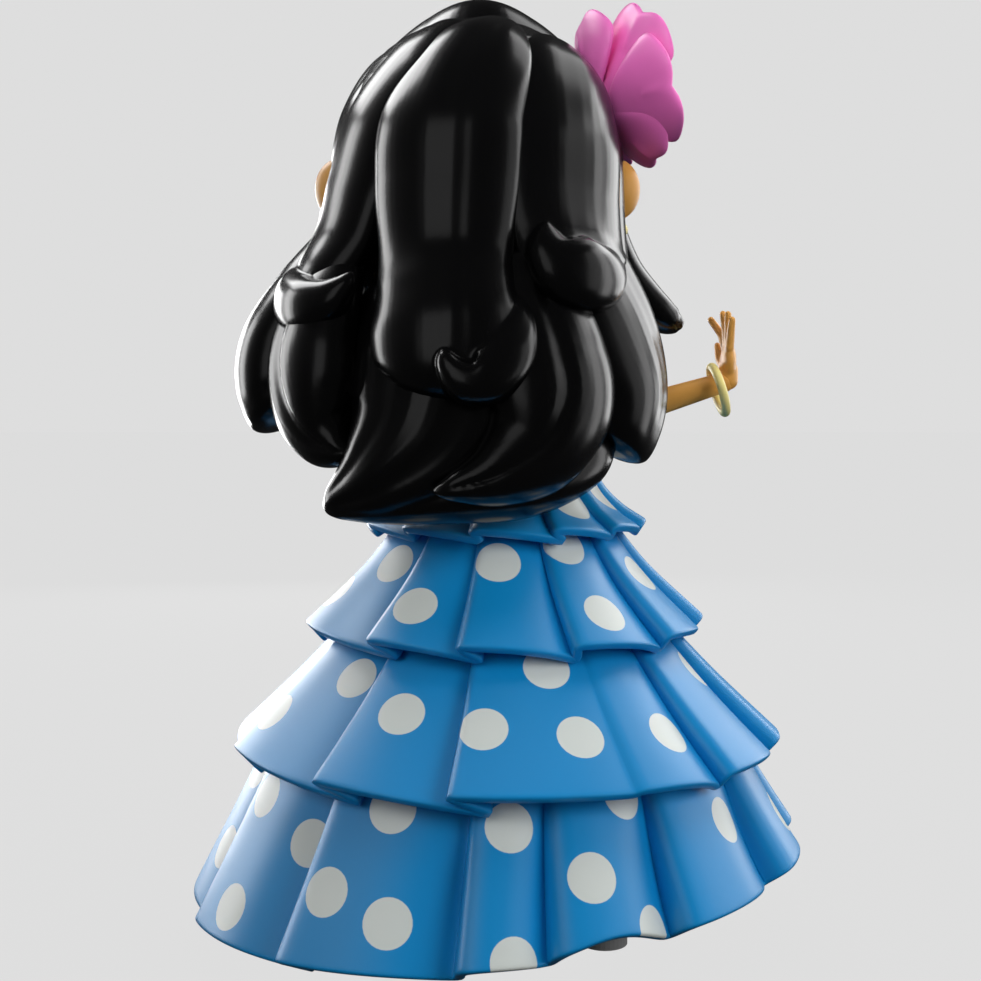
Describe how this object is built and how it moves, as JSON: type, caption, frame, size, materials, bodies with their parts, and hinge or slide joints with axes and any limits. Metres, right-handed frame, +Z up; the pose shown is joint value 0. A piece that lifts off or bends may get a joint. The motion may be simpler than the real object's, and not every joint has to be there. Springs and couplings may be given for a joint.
{
  "type": "souvenir figurine",
  "caption": "Moulded plastic dancer figurine with long wavy hair, a hair flower, a loose bangle and a dotted dress in stepped ruffles; head and arms turn on pegs.",
  "frame": {"origin": "on the ground under the middle of the skirt, which is the middle of the part's box in X and Y", "axes": "+Z up; the face looks along -Y and the back of the hair along +Y; the dancer's right arm points along -X"},
  "size_m": [0.0928, 0.0927, 0.1438],
  "materials": {
    "skin": "satin moulded vinyl, tan skin colour",
    "dress": "smooth semi-gloss blue paint with pale printed dots",
    "dress_inside": "plain moulded blue, satin",
    "hair": "glossy black paint on moulded locks",
    "petals": "smooth semi-gloss magenta",
    "trinket": "smooth pale yellow plastic",
    "shoe": "smooth off-white paint",
    "sole": "fine matt grey moulding",
    "pin": "bare white moulded plastic pin",
    "bush": "dark moulded ring"
  },
  "bodies": {
    "root": {"skirt_core": "dress_inside", "base_plug": "dress_inside", "tier_1": "dress", "tier_2": "dress", "tier_3": "dress", "tier_4": "dress", "bust": "skin", "bodice": "dress", "neck_pin": "pin", "leg_right": "skin", "leg_left": "skin", "shoe_right": "shoe", "shoe_left": "shoe", "sole_right": "sole", "sole_left": "sole"},
    "head": {"head_shell": "skin", "neck_bush": "bush", "earring_right": "trinket", "earring_left": "trinket", "hair_cap": "hair", "hair_top": "hair", "hair_fringe_right": "hair", "hair_fringe_left": "hair", "hair_lock_centre": "hair", "hair_lock_right": "hair", "hair_lock_left": "hair", "hair_lobe_far_left": "hair", "hair_lobe_left": "hair", "hair_lobe_centre": "hair", "hair_lobe_right": "hair", "hair_sweep": "hair", "hair_side_right": "hair", "hair_side_left": "hair", "flower_outer": "petals", "flower_inner": "petals", "flower_centre": "trinket", "flower_peg": "petals"},
    "right_arm": {"arm_right": "skin", "hand_right": "skin"},
    "left_arm": {"arm_left": "skin", "hand_left": "skin"},
    "bangle": {"bangle": "trinket"}
  },
  "joints": [
    {"name": "head_swivel", "type": "hinge", "parent": "root", "child": "head", "pos_m": [0.0043, 0, 0.09], "axis": [0, 0, 1], "range_deg": [-6, 6]},
    {"name": "right_arm_turn", "type": "hinge", "parent": "root", "child": "right_arm", "pos_m": [-0.0067, 0, 0.0785], "axis": [-1, 0, 0], "range_deg": [-30, 30]},
    {"name": "left_arm_turn", "type": "hinge", "parent": "root", "child": "left_arm", "pos_m": [0.0123, 0, 0.0785], "axis": [-1, 0, 0], "range_deg": [-10, 12]},
    {"name": "bangle_turn", "type": "hinge", "parent": "right_arm", "child": "bangle", "pos_m": [-0.03315, 0, 0.08365], "axis": [-0.9559, 0, 0.2938], "continuous": true}
  ]
}
